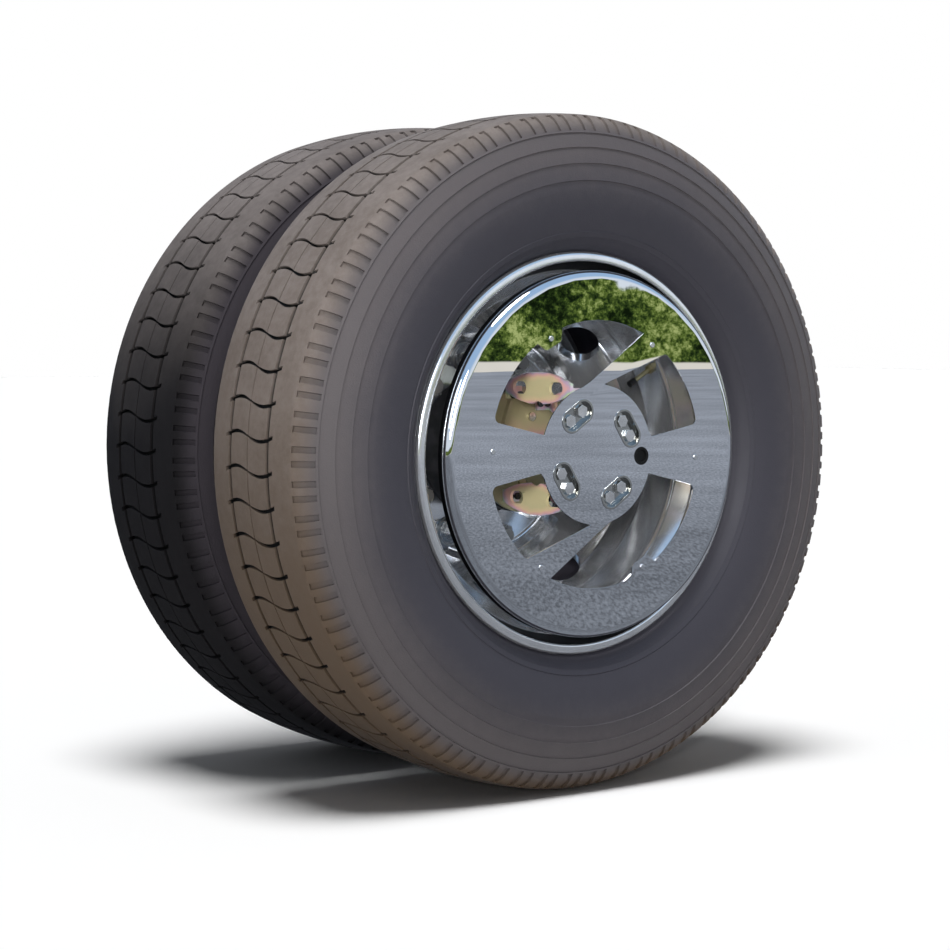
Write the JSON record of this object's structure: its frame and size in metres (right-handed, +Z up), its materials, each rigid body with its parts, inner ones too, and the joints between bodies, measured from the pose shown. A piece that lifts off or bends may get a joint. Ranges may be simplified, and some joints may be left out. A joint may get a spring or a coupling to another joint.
{
  "type": "truck wheel simulator on a dual wheel set",
  "caption": "Dual pair of truck tyres and disc wheels clamped to their hub, with a flat mirror-polished wheel simulator held in the outer wheel by leaf-shaped zinc arms.",
  "frame": {"origin": "on the axle line, in the plane where the discs of the two wheels meet", "axes": "+Y along the axle, from the simulator towards the vehicle; +Z up; +X to the right as seen from outside"},
  "size_m": [1.0108, 0.6282, 1.011],
  "materials": {
    "tyre_rubber": "dusty moulded rubber",
    "polished_aluminium": "polished",
    "hub_iron": "painted casting with machined faces",
    "bearing_steel": "ground",
    "seal_rubber": "moulded",
    "fastener_steel": "plated",
    "yellow_zinc": "iridescent yellow zinc plating",
    "mirror_stainless": "mirror-polished stainless",
    "bright_chrome": "bright",
    "black_plastic": "moulded",
    "valve_brass": "machined",
    "gasket_fibre": "pressed fibre and rubber sheet"
  },
  "bodies": {
    "root": {"outer_tyre": "tyre_rubber", "inner_tyre": "tyre_rubber", "outer_wheel": "polished_aluminium", "inner_wheel": "polished_aluminium", "wheel_hub": "hub_iron", "outer_bearing_cup": "bearing_steel", "inner_bearing_cup": "bearing_steel", "hub_seal": "seal_rubber", "wheel_studs": "fastener_steel", "nut_washers": "fastener_steel", "wheel_nuts": "fastener_steel", "cap_gasket": "gasket_fibre", "hub_cap": "fastener_steel", "base_plate": "yellow_zinc", "base_bolts": "yellow_zinc", "upper_left_arm": "yellow_zinc", "lower_left_arm": "yellow_zinc", "upper_right_arm": "yellow_zinc", "lower_right_arm": "yellow_zinc", "arm_screws": "fastener_steel", "front_plate": "yellow_zinc", "cover_plate": "mirror_stainless", "window_cups": "bright_chrome", "cover_bolts": "bright_chrome", "cover_rivets": "bright_chrome", "access_plug": "black_plastic", "outer_valve_stem": "valve_brass", "inner_valve_stem": "valve_brass", "valve_caps": "black_plastic"}
  },
  "joints": []
}
